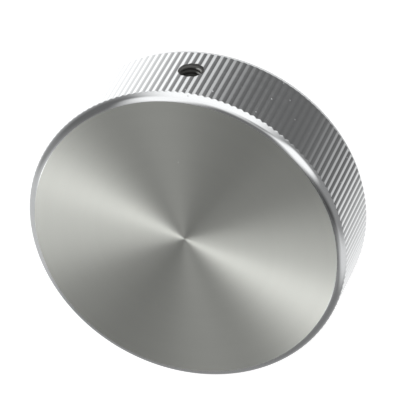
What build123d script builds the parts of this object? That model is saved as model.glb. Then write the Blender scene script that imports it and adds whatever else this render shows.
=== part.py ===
# Control knob: a solid aluminium disc with a serrated rim and a flat spun face, held
# on its shaft by one grub screw in the rim. Sizes are in millimetres. The origin is
# the centre of the rear face, +Z runs along the shaft to the spun face, and the grub
# screw comes in from -Y.
import os
from math import cos, pi, radians, sin, tan

from build123d import *

# Overall size, over the crests of the serrations
KNOB_DIAMETER = 50.0
KNOB_HEIGHT = 14.2

# Soft front edge: a radius that is turned as one short taper where it cuts the serrations
FACE_EDGE_RADIUS = 1.3
SERRATED_EDGE_ANGLE = 24.0

# Serrated rim: V grooves with a narrow flat crest left between them
GROOVE_COUNT = 150
GROOVE_DEPTH = 0.1
CREST_WIDTH = 0.06

# Plain land at the back, where the serrations stop, and how far it lies under the crests
BACK_LAND_HEIGHT = 1.1
BACK_LAND_DEPTH = 0.12
BACK_EDGE_DEPTH = 0.45

# Back: a recess that clears the shaft's nut, then a blind drilled bore
NUT_RECESS_DIAMETER = 18.0
NUT_RECESS_DEPTH = 2.5
BORE_DIAMETER = 6.05
BORE_LEAD_IN = 0.4
BORE_END_HEIGHT = 10.5
DRILL_POINT_ANGLE = 118.0

# Grub screw and its tapped hole, both at the thread's major diameter
THREAD_DIAMETER = 4.0
SCREW_HEIGHT = 6.4
SCREW_LENGTH = 8.0
SCREW_CLEAR_OF_BORE = 0.3
SCREW_POINT_DIAMETER = 2.5
SCREW_END_CHAMFER = 0.3
CUP_DIAMETER = 1.9
CUP_DEPTH = 0.45
CUP_TAPER = 60.0
SOCKET_ACROSS_FLATS = 2.0
SOCKET_DEPTH = 2.2

# The blank is turned a hair larger than the crests, so every crest keeps its flat
BLANK_ALLOWANCE = 0.01

knob_radius = KNOB_DIAMETER / 2
blank_radius = knob_radius + BLANK_ALLOWANCE
bore_radius = BORE_DIAMETER / 2
recess_radius = NUT_RECESS_DIAMETER / 2
drill_point_height = BORE_END_HEIGHT + bore_radius / tan(radians(DRILL_POINT_ANGLE / 2))

edge_centre = (knob_radius - FACE_EDGE_RADIUS, KNOB_HEIGHT - FACE_EDGE_RADIUS)
blank_top = edge_centre[1] - BLANK_ALLOWANCE / tan(radians(SERRATED_EDGE_ANGLE / 2))

screw_axis = Plane(origin=(0, 0, SCREW_HEIGHT), x_dir=(1, 0, 0), z_dir=(0, -1, 0))
screw_point = bore_radius + SCREW_CLEAR_OF_BORE
screw_head = screw_point + SCREW_LENGTH


def edge_point(angle):
    """Point of the soft front edge in the turned section, by its angle from the rim."""
    return (
        edge_centre[0] + FACE_EDGE_RADIUS * cos(radians(angle)),
        edge_centre[1] + FACE_EDGE_RADIUS * sin(radians(angle)),
    )


def rim_point(radius, angle):
    """Point of the serrated outline, by its radius and its angle round the knob."""
    return (radius * cos(radians(angle)), radius * sin(radians(angle)))


def serrated_outline():
    """Corners of the outline: both corners of each crest, then the groove after it."""
    pitch = 360 / GROOVE_COUNT
    half_crest = CREST_WIDTH / (pi * KNOB_DIAMETER) * 180
    corners = []
    for crest in range(GROOVE_COUNT):
        middle = crest * pitch
        corners.append(rim_point(knob_radius, middle - half_crest))
        corners.append(rim_point(knob_radius, middle + half_crest))
        corners.append(rim_point(knob_radius - GROOVE_DEPTH, middle + pitch / 2))
    return corners


with BuildPart() as knob_body:
    # The turned half-section: face, soft front edge, rim, land, recess and bore
    with BuildSketch(Plane.XZ):
        with BuildLine():
            Line((0, KNOB_HEIGHT), (edge_centre[0], KNOB_HEIGHT))
            CenterArc(edge_centre, FACE_EDGE_RADIUS, SERRATED_EDGE_ANGLE, 90 - SERRATED_EDGE_ANGLE)
            Polyline(
                edge_point(SERRATED_EDGE_ANGLE),
                (blank_radius, blank_top),
                (blank_radius, BACK_LAND_HEIGHT),
                (knob_radius - BACK_LAND_DEPTH, BACK_LAND_HEIGHT),
                (knob_radius - BACK_EDGE_DEPTH, 0),
                (recess_radius, 0),
                (recess_radius, NUT_RECESS_DEPTH),
                (bore_radius + BORE_LEAD_IN, NUT_RECESS_DEPTH),
                (bore_radius, NUT_RECESS_DEPTH + BORE_LEAD_IN),
                (bore_radius, BORE_END_HEIGHT),
                (0, drill_point_height),
                (0, KNOB_HEIGHT),
            )
        make_face()
    revolve(axis=Axis.Z)

    # The serrations run the whole height, so they fade out into the soft front edge as
    # pointed arches and stop square at the back land
    with BuildSketch():
        with BuildLine():
            Polyline(*serrated_outline(), close=True)
        make_face()
    extrude(amount=KNOB_HEIGHT, mode=Mode.INTERSECT)

    # The tapped hole, from the rim into the bore
    with BuildSketch(screw_axis):
        Circle(THREAD_DIAMETER / 2)
    extrude(amount=knob_radius, mode=Mode.SUBTRACT)


with BuildPart() as set_screw:
    with BuildSketch(screw_axis.offset(screw_point)):
        Circle(THREAD_DIAMETER / 2)
    extrude(amount=SCREW_LENGTH)
    head_face, point_face = set_screw.faces().filter_by(Axis.Y).sort_by(Axis.Y)
    chamfer(point_face.edges(), length=(THREAD_DIAMETER - SCREW_POINT_DIAMETER) / 2)
    chamfer(head_face.edges(), length=SCREW_END_CHAMFER)

    # The cup in the point, which bites into the shaft
    with BuildSketch(screw_axis.offset(screw_point)):
        Circle(CUP_DIAMETER / 2)
    extrude(amount=CUP_DEPTH, taper=CUP_TAPER, mode=Mode.SUBTRACT)

    # The hexagon socket in the end that faces the rim
    with BuildSketch(screw_axis.offset(screw_head)):
        RegularPolygon(SOCKET_ACROSS_FLATS / 2, 6, major_radius=False)
    extrude(amount=-SOCKET_DEPTH, mode=Mode.SUBTRACT)


knob_body.part.label = "knob_body"
set_screw.part.label = "set_screw"

os.makedirs("parts", exist_ok=True)
for piece in (knob_body.part, set_screw.part):
    export_step(piece, f"parts/{piece.label}.step")
    size = piece.bounding_box().size
    print(f"{piece.label}: {size.X:.2f} x {size.Y:.2f} x {size.Z:.2f} mm, {piece.volume:.1f} mm3")
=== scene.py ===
"""Looks of the control knob: a spun aluminium disc with a serrated rim and its grub screw.

The camera looks down on the spun face, rolled so that the grub screw's hole comes to the top.
"""

import logging
import math
from dataclasses import dataclass
from enum import Enum

import bmesh
import bpy
from mathutils import Matrix, Vector

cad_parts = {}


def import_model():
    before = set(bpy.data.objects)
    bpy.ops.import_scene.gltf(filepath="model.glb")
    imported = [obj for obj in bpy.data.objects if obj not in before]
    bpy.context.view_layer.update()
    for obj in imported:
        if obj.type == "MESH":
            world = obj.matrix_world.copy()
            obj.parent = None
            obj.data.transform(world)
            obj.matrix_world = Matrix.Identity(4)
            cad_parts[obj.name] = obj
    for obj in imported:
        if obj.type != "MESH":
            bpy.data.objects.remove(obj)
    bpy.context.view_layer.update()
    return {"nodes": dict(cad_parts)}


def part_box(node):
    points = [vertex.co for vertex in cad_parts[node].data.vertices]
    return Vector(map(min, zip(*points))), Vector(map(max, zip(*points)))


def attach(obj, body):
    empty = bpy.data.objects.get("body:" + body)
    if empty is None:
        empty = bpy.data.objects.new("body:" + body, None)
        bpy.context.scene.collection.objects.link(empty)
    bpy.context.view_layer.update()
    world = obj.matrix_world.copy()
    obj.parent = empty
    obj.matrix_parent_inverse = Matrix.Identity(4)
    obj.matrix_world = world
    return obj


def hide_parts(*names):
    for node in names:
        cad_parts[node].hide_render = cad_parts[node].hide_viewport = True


MM = 0.001
LOG = logging.getLogger("control_knob")

# The metric coarse thread of a 4 mm grub screw, and how far inside the rim it starts
THREAD_PITCH = 0.7 * MM
THREAD_DEPTH = 0.38 * MM
THREAD_RUN_OUT = 0.55 * MM

# Sockets of the Mix node, which share their names with others and so go by number
NUMBER_A = 2
NUMBER_B = 3
NUMBER_MIXED = 0
COLOUR_A = 6
COLOUR_B = 7
COLOUR_MIXED = 2

BLACK = (0.0, 0.0, 0.0)
WHITE = (1.0, 1.0, 1.0)
KNOB_AXIS = (0.0, 0.0, 1.0)
ACROSS_KNOB = (1.0, 1.0, 0.0)
ACROSS_SCREW = (1.0, 0.0, 1.0)

Colour = tuple[float, float, float]
Socket = bpy.types.NodeSocket


class Finish(Enum):
    """The finishes that the knob's surfaces have, in the order of the body's material slots."""

    SPUN_FACE = 0
    SOFT_EDGE = 1
    SERRATIONS = 2
    TURNED_BACK = 3
    CUT_THREAD = 4


class NodeGraph:
    """A short way to add shader nodes to one tree and join them up."""

    def __init__(self, tree: bpy.types.NodeTree) -> None:
        """Starts on a tree, which keeps the nodes it already has."""
        self.tree = tree

    def feed(self, node: bpy.types.Node, inputs: dict) -> None:
        """Fills or links a node's inputs.

        Args:
            node: A node of the tree.
            inputs: Input name or index to a value or to an output socket.
        """
        for key, value in inputs.items():
            if isinstance(value, Socket):
                self.tree.links.new(value, node.inputs[key])
            else:
                node.inputs[key].default_value = value

    def add(self, kind: str, inputs: dict | None = None, **settings: object) -> bpy.types.Node:
        """Adds a node, sets its properties and fills or links its inputs.

        Args:
            kind: The node's type, such as "ShaderNodeMath".
            inputs: Input name or index to a value or to an output socket.
            **settings: Properties of the node, such as operation.

        Returns:
            The new node.
        """
        node = self.tree.nodes.new(kind)
        for name, value in settings.items():
            setattr(node, name, value)
        self.feed(node, inputs or {})
        return node

    def place(self) -> Socket:
        """Gives the place on the piece, in its own coordinates."""
        return self.add("ShaderNodeTexCoord").outputs["Object"]

    def along(self, axis: str, vector: Socket) -> Socket:
        """Gives a vector's X, Y or Z."""
        return self.add("ShaderNodeSeparateXYZ", {0: vector}).outputs[axis]

    def math(self, operation: str, *values: object) -> Socket:
        """Gives the value of a Math node with these numbers or sockets."""
        node = self.add("ShaderNodeMath", dict(enumerate(values)), operation=operation)
        return node.outputs["Value"]

    def vector(self, operation: str, *values: object) -> Socket:
        """Adds a Vector Math node.

        Args:
            operation: The node's operation, such as "CROSS_PRODUCT".
            *values: Its inputs, as vectors or sockets.

        Returns:
            The node's vector, or its value where the operation gives a number.
        """
        node = self.add("ShaderNodeVectorMath", dict(enumerate(values)), operation=operation)
        number = operation in ("DOT_PRODUCT", "LENGTH", "DISTANCE")
        return node.outputs["Value" if number else "Vector"]

    def spread(self, value: Socket, low: object, high: object) -> Socket:
        """Maps a value from 0 to 1 onto the range from low to high."""
        ranges = {"Value": value, "To Min": low, "To Max": high}
        return self.add("ShaderNodeMapRange", ranges).outputs["Result"]

    def step(self, value: Socket, start: object, end: object) -> Socket:
        """Goes smoothly from 0, where a value is start, to 1, where it is end."""
        ranges = {"Value": value, "From Min": start, "From Max": end}
        return self.add("ShaderNodeMapRange", ranges, interpolation_type="SMOOTHSTEP").outputs["Result"]

    def mix(self, share: Socket, low: object, high: object) -> Socket:
        """Mixes two numbers, where a share of 0 gives low and 1 gives high."""
        numbers = {"Factor": share, NUMBER_A: low, NUMBER_B: high}
        return self.add("ShaderNodeMix", numbers).outputs[NUMBER_MIXED]

    def mix_colours(self, share: Socket, low: object, high: object) -> Socket:
        """Mixes two colours.

        Args:
            share: 0 gives low and 1 gives high.
            low: A colour or a socket.
            high: A colour or a socket.

        Returns:
            The mixed colour.
        """
        low, high = (item if isinstance(item, Socket) else (*item, 1.0) for item in (low, high))
        colours = {"Factor": share, COLOUR_A: low, COLOUR_B: high}
        return self.add("ShaderNodeMix", colours, data_type="RGBA").outputs[COLOUR_MIXED]

    def noise(self, scale: float, detail: float, **where: Socket) -> Socket:
        """Adds a Noise Texture node.

        Args:
            scale: Its scale.
            detail: Its detail.
            **where: Vector, or W for noise along a line.

        Returns:
            The noise's value.
        """
        dimensions = "1D" if "W" in where else "3D"
        inputs = {**where, "Scale": scale, "Detail": detail}
        return self.add("ShaderNodeTexNoise", inputs, noise_dimensions=dimensions).outputs["Fac"]


def new_group(
    name: str, inputs: dict[str, float], outputs: tuple[str, ...]
) -> tuple[bpy.types.ShaderNodeTree, NodeGraph, bpy.types.Node, bpy.types.Node]:
    """Starts a shader node group that takes and gives numbers.

    Args:
        name: The group's name.
        inputs: Input name to its default number.
        outputs: Output names.

    Returns:
        The group, its NodeGraph, its input node and its output node.
    """
    group = bpy.data.node_groups.new(name, "ShaderNodeTree")
    for key, value in inputs.items():
        socket = group.interface.new_socket(key, in_out="INPUT", socket_type="NodeSocketFloat")
        socket.default_value = value
    for key in outputs:
        group.interface.new_socket(key, in_out="OUTPUT", socket_type="NodeSocketFloat")
    graph = NodeGraph(group)
    return group, graph, graph.add("NodeGroupInput"), graph.add("NodeGroupOutput")


def new_material(name: str) -> tuple[bpy.types.Material, NodeGraph, bpy.types.Node]:
    """Starts a material.

    Args:
        name: The material's name.

    Returns:
        The material, its NodeGraph and its Principled node.
    """
    material = bpy.data.materials.new(name)
    material.use_nodes = True
    return material, NodeGraph(material.node_tree), material.node_tree.nodes["Principled BSDF"]


@dataclass(frozen=True)
class TurningMarks:
    """The fine rings that a lathe tool leaves, as a height and a shade round the knob's axis.

    Attributes:
        name: The group's name.
        bands_per_mm: How close the broad, uneven bands lie that the rings come in.
        ring_detail: Detail of the rings' noise.
        band_detail: Detail of the bands' noise.
    """

    name: str = "turning_marks"
    bands_per_mm: float = 0.7
    ring_detail: float = 3.0
    band_detail: float = 2.0

    def build(self) -> bpy.types.ShaderNodeTree:
        """Makes the node group.

        Returns:
            The group: Rings per mm, Unevenness to Height and Shade.
        """
        sizes = {"Rings per mm": 8.0, "Unevenness": 0.5}
        group, graph, given, made = new_group(self.name, sizes, ("Height", "Shade"))
        place = graph.place()
        from_axis = graph.vector("LENGTH", graph.vector("MULTIPLY", place, ACROSS_KNOB))
        radius = graph.math("DIVIDE", from_axis, MM)
        height = graph.math("DIVIDE", graph.along("Z", place), MM)
        along = graph.math("SUBTRACT", radius, height)
        rings = graph.math("MULTIPLY", along, given.outputs["Rings per mm"])
        fine = graph.noise(1.0, self.ring_detail, W=rings)
        broad = graph.noise(self.bands_per_mm, self.band_detail, W=along)
        graph.feed(made, {"Height": fine, "Shade": graph.mix(given.outputs["Unevenness"], fine, broad)})
        return group


@dataclass(frozen=True)
class RimWearAndShade:
    """Where hands have rubbed the rim's crests, with painted shade deeper and deeper down the grooves.

    Attributes:
        name: The group's name.
    """

    name: str = "rim_wear_and_shade"

    def build(self) -> bpy.types.ShaderNodeTree:
        """Makes the node group.

        Returns:
            The group: Crest radius and Groove depth to its one output, 0 in a valley, where shade is painted,
                and 1 on a rubbed crest.
        """
        sizes = {"Crest radius": 25.0 * MM, "Groove depth": 0.1 * MM}
        group, graph, given, made = new_group(self.name, sizes, ("Wear and shade",))
        radius = graph.vector("LENGTH", graph.vector("MULTIPLY", graph.place(), ACROSS_KNOB))
        under = graph.math("SUBTRACT", given.outputs["Crest radius"], radius)
        share = graph.math("DIVIDE", under, given.outputs["Groove depth"])
        graph.feed(made, {"Wear and shade": graph.step(share, 1.0, 0.0)})
        return group


@dataclass(frozen=True)
class Nicks:
    """Tiny dull nicks, scattered at random.

    Attributes:
        name: The group's name.
    """

    name: str = "nicks"

    def build(self) -> bpy.types.ShaderNodeTree:
        """Makes the node group.

        Returns:
            The group: Cells per metre, Size and Share to Nick, 1 in a nick.
        """
        sizes = {"Cells per metre": 600.0, "Size": 0.07, "Share": 0.5}
        group, graph, given, made = new_group(self.name, sizes, ("Nick",))
        scatter = {"Vector": graph.place(), "Scale": given.outputs["Cells per metre"]}
        cells = graph.add("ShaderNodeTexVoronoi", scatter)
        close = graph.math("LESS_THAN", cells.outputs["Distance"], given.outputs["Size"])
        chance = graph.along("X", cells.outputs["Color"])
        chosen = graph.math("LESS_THAN", chance, given.outputs["Share"])
        graph.feed(made, {"Nick": graph.math("MULTIPLY", close, chosen)})
        return group


@dataclass(frozen=True)
class Effects:
    """The shader groups that the finishes share.

    Attributes:
        marks: Turning marks.
        wear_and_shade: Rubbed crests and painted shade in the rim's valleys.
        nicks: Small nicks.
    """

    marks: bpy.types.ShaderNodeTree
    wear_and_shade: bpy.types.ShaderNodeTree
    nicks: bpy.types.ShaderNodeTree


@dataclass(frozen=True)
class Aluminium:
    """Bare aluminium, cut or spun on a lathe and left clear.

    Attributes:
        name: The material's name.
        colour: The metal's colour, linear.
        roughness: Roughness across the marks, from smoothest to roughest ring.
        anisotropic: How much smoother the metal is along the marks than across them.
        rings_per_mm: How close the turning marks lie.
        ring_depth: How deep they look, in metres.
        grain_depth: How deep its fine grain looks, in metres.
        wear_and_shade_contrast: How much darker the valleys of the serrations are than their crests, as
            painted shade in the valleys under rubbed crests.
        nick_share: How many of the scattered places have a nick.
        darkest_ring: How dark the darkest ring is, as a share of the colour.
        nick_roughness: Roughness in a nick.
        grains_per_metre: How close the grain lies.
        grain_detail: Detail of the grain's noise.
    """

    name: str
    colour: Colour
    roughness: tuple[float, float]
    anisotropic: float
    rings_per_mm: float
    ring_depth: float
    grain_depth: float = 0.0003 * MM
    wear_and_shade_contrast: float = 0.0
    nick_share: float = 0.2
    darkest_ring: float = 0.95
    nick_roughness: float = 0.75
    grains_per_metre: float = 7000.0
    grain_detail: float = 3.0

    def build(self, effects: Effects) -> bpy.types.Material:
        """Makes the material.

        Args:
            effects: The shader groups that it uses.

        Returns:
            The material.
        """
        material, graph, metal = new_material(self.name)
        place = graph.place()
        rings = graph.add("ShaderNodeGroup", {"Rings per mm": self.rings_per_mm}, node_tree=effects.marks)
        shade = rings.outputs["Shade"]
        low = tuple(channel * self.darkest_ring for channel in self.colour)
        tint = graph.mix_colours(shade, low, self.colour)
        wear_and_shade = graph.add("ShaderNodeGroup", node_tree=effects.wear_and_shade).outputs["Wear and shade"]
        # Painted shade: the valleys of the serrations are darkened under their rubbed crests
        bright = graph.math("MULTIPLY_ADD", wear_and_shade, self.wear_and_shade_contrast, 1.0 - self.wear_and_shade_contrast)
        nicks = graph.add("ShaderNodeGroup", {"Share": self.nick_share}, node_tree=effects.nicks)
        smooth = graph.spread(shade, *self.roughness)
        grain = graph.noise(self.grains_per_metre, self.grain_detail, Vector=place)
        turned = graph.add("ShaderNodeBump", {"Height": rings.outputs["Height"], "Distance": self.ring_depth})
        fine = {"Height": grain, "Distance": self.grain_depth, "Normal": turned.outputs["Normal"]}
        around = graph.vector("CROSS_PRODUCT", KNOB_AXIS, place)
        facing = graph.add("ShaderNodeNewGeometry").outputs["Normal"]
        surface = {
            "Metallic": 1.0,
            "Anisotropic": self.anisotropic,
            "Base Color": graph.mix_colours(bright, BLACK, tint),
            "Roughness": graph.mix(nicks.outputs["Nick"], smooth, self.nick_roughness),
            "Normal": graph.add("ShaderNodeBump", fine).outputs["Normal"],
            "Tangent": graph.vector("NORMALIZE", graph.vector("CROSS_PRODUCT", around, facing)),
        }
        graph.feed(metal, surface)
        return material


@dataclass(frozen=True)
class BlackSteel:
    """Black-oxide steel, as grub screws are sold.

    Attributes:
        name: The material's name.
        colour: The oxide's colour where it is lightest, linear.
        darkest: How dark it is where it is darkest, as a share of the colour.
        metallic: How much of the steel shows through the oxide.
        roughness: Roughness, from smoothest to roughest speckle.
        speckles_per_metre: How close the speckles lie.
        speckle_detail: Detail of their noise.
    """

    name: str = "black_steel"
    colour: Colour = (0.035, 0.035, 0.038)
    darkest: float = 0.6
    metallic: float = 0.8
    roughness: tuple[float, float] = (0.3, 0.55)
    speckles_per_metre: float = 2500.0
    speckle_detail: float = 4.0

    def build(self) -> bpy.types.Material:
        """Makes the material.

        Returns:
            The material.
        """
        material, graph, metal = new_material(self.name)
        speckle = graph.noise(self.speckles_per_metre, self.speckle_detail, Vector=graph.place())
        low = tuple(channel * self.darkest for channel in self.colour)
        surface = {
            "Metallic": self.metallic,
            "Base Color": graph.mix_colours(speckle, low, self.colour),
            "Roughness": graph.spread(speckle, *self.roughness),
        }
        graph.feed(metal, surface)
        return material


@dataclass(frozen=True)
class Thread:
    """A coarse metric thread about the grub screw's axis.

    Attributes:
        major_radius: Radius of the hole's roots and the screw's crests.
        minor_radius: Radius of the hole's crests and the screw's roots.
        pitch: From one turn to the next.
        height: Of the axis above the knob's rear face.
        plain_from: Distance from the knob's axis at which the thread runs out into a plain bore.
        steepness: How steep its flanks are, as 1 for half a pitch from minor to major radius.
        fullness: How soon it comes up to the major radius, and so how wide that is.
        steps_round: Steps of its mesh in one turn.
        rings_per_pitch: Rings of its mesh in one pitch.
    """

    major_radius: float
    minor_radius: float
    pitch: float
    height: float
    plain_from: float
    steepness: float = 2.0
    fullness: float = 1.4
    steps_round: int = 44
    rings_per_pitch: int = 8

    def radius_at(self, distance: float, turn: float) -> float:
        """Radius of the thread's surface.

        Args:
            distance: Distance from the knob's axis.
            turn: Angle about the screw's axis, in radians.

        Returns:
            The radius there, between the minor and the major one.
        """
        phase = (distance / self.pitch - turn / math.tau) % 1.0
        rise = min(1.0, max(0.0, self.fullness - self.steepness * abs(2.0 * phase - 1.0)))
        run_out = min(1.0, max(0.0, (distance - self.plain_from) / (0.5 * self.pitch)))
        return self.minor_radius + (self.major_radius - self.minor_radius) * max(rise, run_out)

    def rod(self, name: str, start: float, end: float, slack: float = 0.0) -> bpy.types.Object:
        """Makes a closed threaded rod that points along -Y.

        Args:
            name: The object's name.
            start: Distance of its inner end from the knob's axis.
            end: Distance of its outer end.
            slack: How far its surface lies inside the thread's.

        Returns:
            The rod.
        """
        rings = round((end - start) / self.pitch * self.rings_per_pitch)
        heights = [start + (end - start) * ring / rings for ring in range(rings + 1)]
        bm = bmesh.new()
        line = [bm.verts.new((self.major_radius, 0.0, height)) for height in heights]
        edges = [bm.edges.new(pair) for pair in zip(line, line[1:])]
        bmesh.ops.spin(
            bm, geom=line + edges, cent=(0, 0, 0), axis=(0, 0, 1), angle=math.tau, steps=self.steps_round,
            use_merge=True,
        )
        for vert in bm.verts:
            turn = math.atan2(vert.co.y, vert.co.x)
            radius = self.radius_at(vert.co.z, turn) - slack
            vert.co.x = radius * math.cos(turn)
            vert.co.y = radius * math.sin(turn)
        rims = [edge for edge in bm.edges if edge.is_boundary]
        bmesh.ops.holes_fill(bm, edges=rims, sides=0)
        bmesh.ops.rotate(bm, verts=bm.verts, cent=(0, 0, 0), matrix=Matrix.Rotation(math.pi / 2, 3, "X"))
        bmesh.ops.translate(bm, verts=bm.verts, vec=(0.0, 0.0, self.height))
        bmesh.ops.recalc_face_normals(bm, faces=bm.faces)
        return object_from(bm, name)


@dataclass(frozen=True)
class PaintedLightTappedHole:
    """The inside of the tapped hole, painted dark as the hole's shade, with painted light in its roots and
    painted highlights on the crests on one side.

    Attributes:
        thread: The hole's thread.
        name: The material's name.
        painted_crest_shade: Colour of the crests, painted dark as the hole's shade, linear.
        painted_root_light: Colour of the roots, painted lighter against their own shade.
        painted_highlight: Colour of the painted highlight on the crests.
        painted_highlight_from: X at which the painted highlight on a crest starts, and at which it is full.
        painted_highlight_to: X at which it has ended, and up to which it is full.
        metallic: How much of the metal shows through the painted shade.
        gloss: Specular level of the painted surface.
        roughness: Roughness, from smoothest to roughest spot.
        spots_per_metre: How close the spots lie.
        spot_detail: Detail of their noise.
    """

    thread: Thread
    name: str = "tapped_hole_painted_light"
    painted_crest_shade: Colour = (0.07, 0.07, 0.067)
    painted_root_light: Colour = (0.14, 0.14, 0.135)
    painted_highlight: Colour = (0.75, 0.75, 0.73)
    painted_highlight_from: tuple[float, float] = (-0.1 * MM, -0.7 * MM)
    painted_highlight_to: tuple[float, float] = (-1.55 * MM, -1.15 * MM)
    metallic: float = 0.15
    gloss: float = 0.25
    roughness: tuple[float, float] = (0.5, 0.8)
    spots_per_metre: float = 2500.0
    spot_detail: float = 4.0

    def build(self) -> bpy.types.Material:
        """Makes the material.

        Returns:
            The material.
        """
        material, graph, metal = new_material(self.name)
        place = graph.place()
        beside = graph.along("X", place)
        from_axis = graph.vector("SUBTRACT", place, (0.0, 0.0, self.thread.height))
        radius = graph.vector("LENGTH", graph.vector("MULTIPLY", from_axis, ACROSS_SCREW))
        middle = (self.thread.minor_radius + self.thread.major_radius) / 2
        crest = graph.step(radius, middle, self.thread.minor_radius)
        # Painted shade on the crests and painted light in the roots, in place of the hole's own shading
        painted_shade_and_fill = graph.mix_colours(crest, self.painted_root_light, self.painted_crest_shade)
        # Painted highlight: the crests on one side of the hole, between these X, are painted light
        started = graph.step(beside, *self.painted_highlight_from)
        not_ended = graph.step(beside, *self.painted_highlight_to)
        bright = graph.math("MULTIPLY", crest, graph.math("MULTIPLY", started, not_ended))
        spots = graph.noise(self.spots_per_metre, self.spot_detail, Vector=place)
        surface = {
            "Metallic": self.metallic,
            "Specular IOR Level": self.gloss,
            "Base Color": graph.mix_colours(bright, painted_shade_and_fill, self.painted_highlight),
            "Roughness": graph.spread(spots, *self.roughness),
        }
        graph.feed(metal, surface)
        return material


def object_from(bm: bmesh.types.BMesh, name: str) -> bpy.types.Object:
    """Turns a bmesh into an object in the scene.

    Args:
        bm: The bmesh, which is freed.
        name: The object's and its mesh's name.

    Returns:
        The object, at the origin.
    """
    mesh = bpy.data.meshes.new(name)
    bm.to_mesh(mesh)
    bm.free()
    piece = bpy.data.objects.new(name, mesh)
    bpy.context.scene.collection.objects.link(piece)
    return piece


def cut(piece: bpy.types.Object, cutter: bpy.types.Object) -> None:
    """Cuts one closed mesh out of another and deletes the cutter.

    Args:
        piece: What is cut.
        cutter: What is taken out of it.
    """
    modifier = piece.modifiers.new("cut", "BOOLEAN")
    modifier.operation = "DIFFERENCE"
    modifier.solver = "EXACT"
    modifier.material_mode = "TRANSFER"
    modifier.object = cutter
    graph = bpy.context.evaluated_depsgraph_get()
    mesh = bpy.data.meshes.new_from_object(piece.evaluated_get(graph))
    piece.modifiers.clear()
    piece.data = mesh
    bpy.data.objects.remove(cutter)


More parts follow.
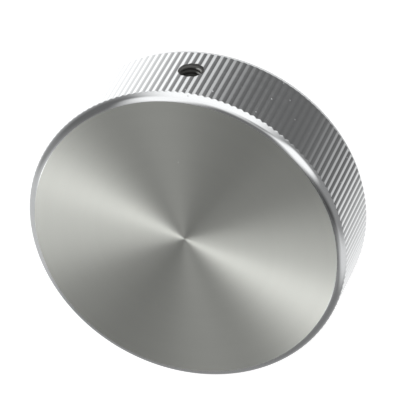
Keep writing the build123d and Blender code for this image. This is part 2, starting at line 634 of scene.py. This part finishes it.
@dataclass
class KnobBody:
    """The turned aluminium disc, with its serrated rim, its back and its tapped hole.

    Attributes:
        radius: Over the crests of the serrations.
        height: From the rear face to the spun face.
        thread: The tapped hole's thread.
        edge_width: How far the soft front edge reaches in from the crests.
        edge_start: Slope of the edge where it meets the face, in degrees.
        edge_end: Slope of the edge where it meets the rim, in degrees.
        groove_count: Serrations in the whole turn.
        groove_depth: Of the V grooves, under the crests.
        crest_width: Of the flat left between two grooves.
        land_height: Of the plain land at the back, where the serrations stop.
        land_depth: How far the land's top lies under the crests.
        land_foot_depth: How far its foot does.
        recess_radius: Of the recess for the shaft's nut.
        recess_depth: Of that recess.
        bore_radius: Of the bore for the shaft.
        bore_lead_in: Width of the bore's chamfer.
        bore_end: Height at which the drill point starts.
        drill_point: Height of the drill point's tip.
        broken_edge: Width by which sharp edges are broken.
        weld: Distance up to which points of the mesh are merged.
        tap_overrun: How far the tap that cuts the hole stands out of the rim.
        step_phases: Where the steps of the mesh lie in one serration, from crest to crest.
        edge_rows: Rows of the mesh on the edge.
        rim_rows: Rows of the mesh on the rim.
        underside: The Z of a normal, below which a face belongs to the back.
        flank_lean: How far a normal leans sideways before its face is a groove's flank.
        face_skin: How far under the face's height a facet still belongs to the face.
        sharp_angle: Angle between facets from which they meet at a sharp edge, in degrees.
    """

    radius: float
    height: float
    thread: Thread
    edge_width: float = 1.2 * MM
    edge_start: float = 16.0
    edge_end: float = 70.0
    groove_count: int = 150
    groove_depth: float = 0.1 * MM
    crest_width: float = 0.06 * MM
    land_height: float = 1.1 * MM
    land_depth: float = 0.12 * MM
    land_foot_depth: float = 0.45 * MM
    recess_radius: float = 9.0 * MM
    recess_depth: float = 2.5 * MM
    bore_radius: float = 3.025 * MM
    bore_lead_in: float = 0.4 * MM
    bore_end: float = 10.5 * MM
    drill_point: float = 12.318 * MM
    broken_edge: float = 0.05 * MM
    weld: float = 0.001 * MM
    tap_overrun: float = 1.0 * MM
    step_phases: tuple[float, ...] = (0.0, 0.06, 0.25, 0.44, 0.5, 0.56, 0.75, 0.94)
    edge_rows: int = 26
    rim_rows: int = 9
    underside: float = -0.5
    flank_lean: float = 0.1
    face_skin: float = 0.0012 * MM
    sharp_angle: float = 14.0

    def edge_line(self) -> list[tuple[float, float]]:
        """The soft front edge in the half-section, an arc from the face down to the rim.

        Returns:
            Points as (radius, height).
        """
        start, end = math.radians(self.edge_start), math.radians(self.edge_end)
        bend = self.edge_width / (math.sin(end) - math.sin(start))
        points = []
        for row in range(self.edge_rows + 1):
            tilt = start + (end - start) * row / self.edge_rows
            out = bend * (math.sin(end) - math.sin(tilt))
            down = bend * (math.cos(start) - math.cos(tilt))
            points.append((self.radius - out, self.height - down))
        return points

    def section(self) -> list[tuple[float, float]]:
        """The half-section that is spun, from the face's centre round to the drill point.

        Returns:
            Points as (radius, height).
        """
        small = self.broken_edge
        face_end = self.radius - self.edge_width - 0.5 * small
        points = [(0.0, self.height), (0.5 * self.radius, self.height), (face_end, self.height)]
        points += self.edge_line()
        top = points[-1][1] - small
        drop = top - self.land_height - 3 * small
        for row in range(self.rim_rows + 1):
            points.append((self.radius, top - drop * row / self.rim_rows))
        points += [
            (self.radius, self.land_height + small),
            (self.radius - small, self.land_height),
            (self.radius - self.land_depth, self.land_height),
            (self.radius - self.land_foot_depth, small),
            (self.radius - self.land_foot_depth - small, 0.0),
            (self.recess_radius + small, 0.0),
            (self.recess_radius, small),
            (self.recess_radius, self.recess_depth),
            (self.bore_radius + self.bore_lead_in, self.recess_depth),
            (self.bore_radius, self.recess_depth + self.bore_lead_in),
            (self.bore_radius, self.bore_end),
            (0.0, self.drill_point),
        ]
        return points

    def settled(self, turn: float) -> float:
        """Moves a step of the spin close to the crest or valley that it should model.

        Args:
            turn: The step's angle round the knob, in radians.

        Returns:
            The angle where the step belongs.
        """
        pitch = math.tau / self.groove_count
        count = len(self.step_phases)
        step = round(turn / pitch * count)
        return (step // count + self.step_phases[step % count]) * pitch

    def outline(self, turn: float) -> float:
        """Radius of the serrated outline.

        Args:
            turn: Angle round the knob, in radians.

        Returns:
            The outline's radius there.
        """
        pitch = math.tau / self.groove_count
        from_crest = abs((turn / pitch + 0.5) % 1.0 - 0.5)
        half_crest = self.crest_width / self.radius / pitch / 2
        share = max(0.0, (from_crest - half_crest) / (0.5 - half_crest))
        return self.radius - self.groove_depth * share

    def finish_of(self, face: bmesh.types.BMFace) -> Finish:
        """Which finish a face of the blank has.

        Args:
            face: A face of the spun and serrated mesh.

        Returns:
            Its finish.
        """
        centre = face.calc_center_median()
        radius = math.hypot(centre.x, centre.y)
        if radius < self.recess_radius + self.broken_edge and centre.z < self.drill_point:
            return Finish.TURNED_BACK
        if centre.z < self.land_height or face.normal.z < self.underside:
            return Finish.TURNED_BACK
        if centre.z > self.height - self.face_skin:
            return Finish.SPUN_FACE
        if centre.z > self.height - self.edge_width:
            outward = Vector((centre.x, centre.y, 0.0)).normalized()
            sideways = abs(face.normal.cross(outward).z)
            return Finish.SERRATIONS if sideways > self.flank_lean else Finish.SOFT_EDGE
        return Finish.SERRATIONS

    def build(self, finishes: dict[Finish, bpy.types.Material]) -> bpy.types.Object:
        """Makes the body.

        Args:
            finishes: The material of each finish.

        Returns:
            The body.
        """
        bm = bmesh.new()
        verts = [bm.verts.new((radius, 0.0, height)) for radius, height in self.section()]
        edges = [bm.edges.new(pair) for pair in zip(verts, verts[1:])]
        bmesh.ops.spin(
            bm, geom=verts + edges, cent=(0, 0, 0), axis=(0, 0, 1), angle=math.tau,
            steps=self.groove_count * len(self.step_phases), use_merge=True,
        )
        bmesh.ops.remove_doubles(bm, verts=bm.verts, dist=self.weld)
        for vert in bm.verts:
            turn = self.settled(math.atan2(vert.co.y, vert.co.x))
            radius = min(math.hypot(vert.co.x, vert.co.y), self.outline(turn))
            vert.co.x = radius * math.cos(turn)
            vert.co.y = radius * math.sin(turn)
        bmesh.ops.recalc_face_normals(bm, faces=bm.faces)
        for face in bm.faces:
            face.material_index = self.finish_of(face).value
            face.smooth = True
        body = object_from(bm, "knob_body_turned")
        for finish in Finish:
            body.data.materials.append(finishes[finish])
        hole = self.thread.rod("tap", 0.5 * self.bore_radius, self.radius + self.tap_overrun)
        hole.data.materials.append(finishes[Finish.CUT_THREAD])
        cut(body, hole)
        body.data.set_sharp_from_angle(angle=math.radians(self.sharp_angle))
        return body


@dataclass
class GrubScrew:
    """The socket grub screw that sits deep in the tapped hole.

    Attributes:
        point: Distance of its cup point from the knob's axis.
        head: Distance of its socket end from the knob's axis.
        thread: Its thread, the same as the hole's.
        clearance: How far its thread lies inside the hole's.
        socket_width: Of the hexagon socket, across flats.
        socket_depth: Of that socket.
        sharp_angle: Angle between facets from which they meet at a sharp edge, in degrees.
    """

    point: float
    head: float
    thread: Thread
    clearance: float = 0.02 * MM
    socket_width: float = 2.0 * MM
    socket_depth: float = 2.2 * MM
    sharp_angle: float = 30.0

    def key(self) -> bpy.types.Object:
        """Makes the hexagon key that the socket is cut with.

        Returns:
            The key, half of it in the screw.
        """
        corner = self.socket_width / math.sqrt(3.0)
        bm = bmesh.new()
        bmesh.ops.create_cone(
            bm, cap_ends=True, segments=6, radius1=corner, radius2=corner, depth=2 * self.socket_depth
        )
        bmesh.ops.rotate(bm, verts=bm.verts, cent=(0, 0, 0), matrix=Matrix.Rotation(math.pi / 2, 3, "X"))
        bmesh.ops.translate(bm, verts=bm.verts, vec=(0.0, -self.head, self.thread.height))
        return object_from(bm, "key")

    def build(self, steel: bpy.types.Material) -> bpy.types.Object:
        """Makes the screw.

        Args:
            steel: Its material.

        Returns:
            The screw.
        """
        screw = self.thread.rod("set_screw_threaded", self.point, self.head, self.clearance)
        screw.data.materials.append(steel)
        cut(screw, self.key())
        for face in screw.data.polygons:
            face.use_smooth = True
        screw.data.set_sharp_from_angle(angle=math.radians(self.sharp_angle))
        return screw


@dataclass(frozen=True)
class Softbox:
    """A flat rectangular light or dark card that stands square to the knob, with soft borders.

    Attributes:
        azimuth: Its direction round the knob, from +X towards +Y, in degrees.
        elevation: Its height above the horizon, in degrees.
        width: Half its width, as a share of its distance.
        height: Half its height, as a share of its distance.
        side_border: Half the width of the soft border at its sides, as a share of its distance.
        end_border: The same at its top and bottom.
        level: How bright it is, where 1 is white.
        nearest: Cosine of the widest angle from its middle at which it still shows.
    """

    azimuth: float
    elevation: float
    width: float
    height: float
    side_border: float
    end_border: float
    level: float
    nearest: float = 0.05

    def axes(self) -> tuple[Vector, Vector, Vector]:
        """Finds how the box stands.

        Returns:
            Unit vectors towards it, along its width and along its height.
        """
        turn = math.radians(self.azimuth)
        rise = math.radians(self.elevation)
        towards = Vector((math.cos(turn) * math.cos(rise), math.sin(turn) * math.cos(rise), math.sin(rise)))
        sideways = Vector((-math.sin(turn), math.cos(turn), 0.0))
        return towards, sideways, towards.cross(sideways)

    def mask(self, graph: NodeGraph, look: Socket) -> Socket:
        """Adds the nodes that find whether a direction meets the box.

        Args:
            graph: The world's nodes.
            look: The direction.

        Returns:
            1 in the box, 0 outside it and a smooth step over its border.
        """
        towards, sideways, upwards = self.axes()
        depth = graph.vector("DOT_PRODUCT", look, tuple(towards))
        share = graph.math("GREATER_THAN", depth, self.nearest)
        sides = ((sideways, self.width, self.side_border), (upwards, self.height, self.end_border))
        for axis, half, border in sides:
            along = graph.vector("DOT_PRODUCT", look, tuple(axis))
            offset = graph.math("ABSOLUTE", graph.math("DIVIDE", along, depth))
            share = graph.math("MULTIPLY", share, graph.step(offset, half + border, half - border))
        return share


@dataclass
class Studio:
    """The floor, the light and the camera.

    Attributes:
        softboxes: What the metal reflects, each one laid over those before it.
        base_level: How bright it is where there is no softbox.
        floor_size: Length of the square floor's sides.
        floor_gap: How far the floor lies under the knob.
        floor_colour: The floor's colour, linear.
        floor_roughness: The floor's roughness.
        floor_lift: Light that the camera sees the floor give off, so that it is nearly white.
        camera_azimuth: The camera's direction round the knob, from -Y towards +X, in degrees.
        camera_elevation: Its height above the horizon, in degrees.
        camera_roll: How far it is rolled about its own axis, in degrees.
        camera_distance: How far it stands from what it looks at.
        camera_aim: What it looks at.
        camera_lens: Its focal length, in millimetres.
        camera_sensor: Width of its sensor, in millimetres.
        camera_clip: How near and how far it sees, in metres.
    """

    # Each one's azimuth, elevation, width, height, side border, end border and level
    softboxes: tuple[Softbox, ...] = (
        Softbox(112.0, 16.0, 0.4, 0.35, 0.15, 0.15, 0.21),  # low dark card, opposite the hole
        Softbox(239.0, -58.0, 1.2, 0.33, 0.15, 0.23, 0.16),  # wide dark card below, on the hole's side
        Softbox(337.0, 30.0, 0.39, 0.51, 0.22, 0.2, 0.15),  # dark card on the +X side
        Softbox(266.5, -1.0, 0.77, 1.17, 0.41, 0.31, 1.18),  # white wall that faces the hole
        Softbox(205.0, 51.0, 0.22, 0.69, 0.1, 0.28, 1.16),  # tall lamp on the -X side
        Softbox(7.0, -51.5, 0.91, 0.31, 0.67, 0.7, 1.78),  # lamp below, on the +X side
        Softbox(31.0, 1.5, 0.3, 0.98, 0.13, 0.33, 0.59),  # tall grey wall
        Softbox(145.5, 0.0, 0.2, 1.08, 0.14, 0.29, 0.75),  # tall pale wall
        Softbox(38.5, 41.0, 0.19, 0.08, 0.06, 0.06, 3.37),  # small hot lamp
        Softbox(94.0, 58.5, 0.14, 0.29, 0.1, 0.07, 3.64),  # hot strip lamp
        Softbox(107.5, -52.0, 0.4, 0.22, 0.37, 0.55, 1.23),  # lamp below, opposite the hole
        Softbox(291.0, 60.5, 0.45, 0.46, 0.18, 0.24, 1.15),  # high lamp over the hole
        Softbox(86.0, 66.5, 0.32, 0.25, 0.14, 0.06, 0.0),  # black flag over the strip lamp
        Softbox(248.0, 80.0, 0.27, 0.34, 0.14, 0.26, 0.17),  # dark card overhead
        Softbox(243.0, -88.0, 0.35, 0.35, 0.12, 0.12, 0.9),  # pale card straight below
        Softbox(156.0, 50.5, 0.15, 0.31, 0.33, 0.2, 0.0),  # high black flag
    )
    base_level: float = 0.282
    floor_size: float = 3.0
    floor_gap: float = 0.05 * MM
    floor_colour: Colour = (0.8, 0.8, 0.8)
    floor_roughness: float = 0.9
    floor_lift: float = 0.72
    camera_azimuth: float = -27.054
    camera_elevation: float = 54.370
    camera_roll: float = 151.057
    camera_distance: float = 597.459 * MM
    camera_aim: tuple[float, float, float] = (-1.290 * MM, -0.902 * MM, 6.104 * MM)
    camera_lens: float = 340.222
    camera_sensor: float = 36.0
    camera_clip: tuple[float, float] = (0.01, 10.0)

    def light_world(self) -> None:
        """Lights the scene from all round, with the softboxes that the metal reflects."""
        world = bpy.data.worlds.new("studio")
        bpy.context.scene.world = world
        world.use_nodes = True
        graph = NodeGraph(world.node_tree)
        look = graph.add("ShaderNodeTexCoord").outputs["Generated"]
        level: object = self.base_level
        for box in self.softboxes:
            level = graph.mix(box.mask(graph, look), level, box.level)
        seen = graph.add("ShaderNodeLightPath").outputs["Is Camera Ray"]
        sky = {"Color": (*WHITE, 1.0), "Strength": graph.mix(seen, level, 1.0)}
        graph.feed(world.node_tree.nodes["Background"], sky)

    def floor_paint(self) -> bpy.types.Material:
        """Makes the floor's plain pale paint, which can be looked through from below.

        Returns:
            The material.
        """
        material, graph, paint = new_material("pale_floor")
        seen = graph.add("ShaderNodeLightPath").outputs["Is Camera Ray"]
        surface = {
            "Base Color": (*self.floor_colour, 1.0),
            "Roughness": self.floor_roughness,
            "Specular IOR Level": 0.0,
            "Emission Color": (*WHITE, 1.0),
            "Emission Strength": graph.math("MULTIPLY", seen, self.floor_lift),
        }
        graph.feed(paint, surface)
        below = graph.add("ShaderNodeNewGeometry").outputs["Backfacing"]
        clear = graph.add("ShaderNodeBsdfTransparent").outputs["BSDF"]
        sides = graph.add("ShaderNodeMixShader", {"Fac": below, 1: paint.outputs["BSDF"], 2: clear})
        graph.feed(material.node_tree.nodes["Material Output"], {"Surface": sides.outputs["Shader"]})
        return material

    def lay_floor(self) -> bpy.types.Object:
        """Lays the floor a hair under the knob.

        Returns:
            The floor.
        """
        bm = bmesh.new()
        bmesh.ops.create_grid(bm, x_segments=1, y_segments=1, size=self.floor_size / 2)
        bmesh.ops.translate(bm, verts=bm.verts, vec=(0.0, 0.0, -self.floor_gap))
        floor = object_from(bm, "floor")
        floor.data.materials.append(self.floor_paint())
        floor.visible_glossy = False
        return floor

    def place_camera(self) -> None:
        """Puts the camera where the photograph was taken from."""
        turn = math.radians(self.camera_azimuth)
        rise = math.radians(self.camera_elevation)
        back = Vector((math.sin(turn) * math.cos(rise), -math.cos(turn) * math.cos(rise), math.sin(rise)))
        data = bpy.data.cameras.new("camera")
        data.lens = self.camera_lens
        data.sensor_width = self.camera_sensor
        data.clip_start, data.clip_end = self.camera_clip
        camera = bpy.data.objects.new("camera", data)
        bpy.context.scene.collection.objects.link(camera)
        level = back.to_track_quat("Z", "Y").to_matrix().to_4x4()
        rolled = level @ Matrix.Rotation(-math.radians(self.camera_roll), 4, "Z")
        place = Vector(self.camera_aim) + back * self.camera_distance
        camera.matrix_world = Matrix.Translation(place) @ rolled
        bpy.context.scene.camera = camera

    def build(self) -> None:
        """Builds the studio."""
        self.light_world()
        self.lay_floor()
        self.place_camera()
        bpy.context.scene.view_settings.view_transform = "Standard"


def build_finishes(thread: Thread) -> dict[Finish, bpy.types.Material]:
    """Makes the materials of the knob's body.

    Args:
        thread: The tapped hole's thread.

    Returns:
        The material of each finish.
    """
    effects = Effects(TurningMarks().build(), RimWearAndShade().build(), Nicks().build())
    warm = (0.936, 0.950, 0.891)
    neutral = (0.847, 0.860, 0.869)
    styles = {
        Finish.SPUN_FACE: Aluminium(
            name="spun_face", colour=warm, roughness=(0.277, 0.301), anisotropic=0.917,
            rings_per_mm=9.0, ring_depth=0.0006 * MM,
        ),
        Finish.SOFT_EDGE: Aluminium(
            name="soft_edge", colour=neutral, roughness=(0.07, 0.11), anisotropic=0.0,
            rings_per_mm=9.0, ring_depth=0.0004 * MM,
        ),
        # The serrations carry painted shade in their valleys
        Finish.SERRATIONS: Aluminium(
            name="serrations", colour=neutral, roughness=(0.08, 0.14), anisotropic=0.0,
            rings_per_mm=5.0, ring_depth=0.0004 * MM, grain_depth=0.0012 * MM, wear_and_shade_contrast=0.16, nick_share=0.6,
        ),
        Finish.TURNED_BACK: Aluminium(
            name="turned_back", colour=neutral, roughness=(0.22, 0.42), anisotropic=0.8,
            rings_per_mm=3.0, ring_depth=0.012 * MM,
        ),
    }
    finishes = {finish: style.build(effects) for finish, style in styles.items()}
    # The tapped hole's colours are painted shade, painted root light and painted highlights
    finishes[Finish.CUT_THREAD] = PaintedLightTappedHole(thread).build()
    return finishes


def main() -> None:
    """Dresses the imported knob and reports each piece."""
    logging.basicConfig(level=logging.INFO, format="%(name)s: %(message)s")
    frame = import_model()
    LOG.info("%d CAD nodes to dress", len(frame["nodes"]))
    body_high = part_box("knob_body")[1]
    screw_low, screw_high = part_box("set_screw")
    thread = Thread(
        major_radius=(screw_high.x - screw_low.x) / 2,
        minor_radius=(screw_high.x - screw_low.x) / 2 - THREAD_DEPTH,
        pitch=THREAD_PITCH,
        height=(screw_low.z + screw_high.z) / 2,
        plain_from=body_high.x - THREAD_RUN_OUT,
    )
    body = KnobBody(body_high.x, body_high.z, thread).build(build_finishes(thread))
    screw = GrubScrew(-screw_high.y, -screw_low.y, thread).build(BlackSteel().build())
    for piece, node, slot in ((body, "knob_body", "turned_aluminium"), (screw, "set_screw", "black_steel")):
        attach(piece, "root")
        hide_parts(node)
        LOG.info("%s: %d faces, in place of %s", piece.name, len(piece.data.polygons), node)
    Studio().build()


if __name__ == "__main__":
    main()
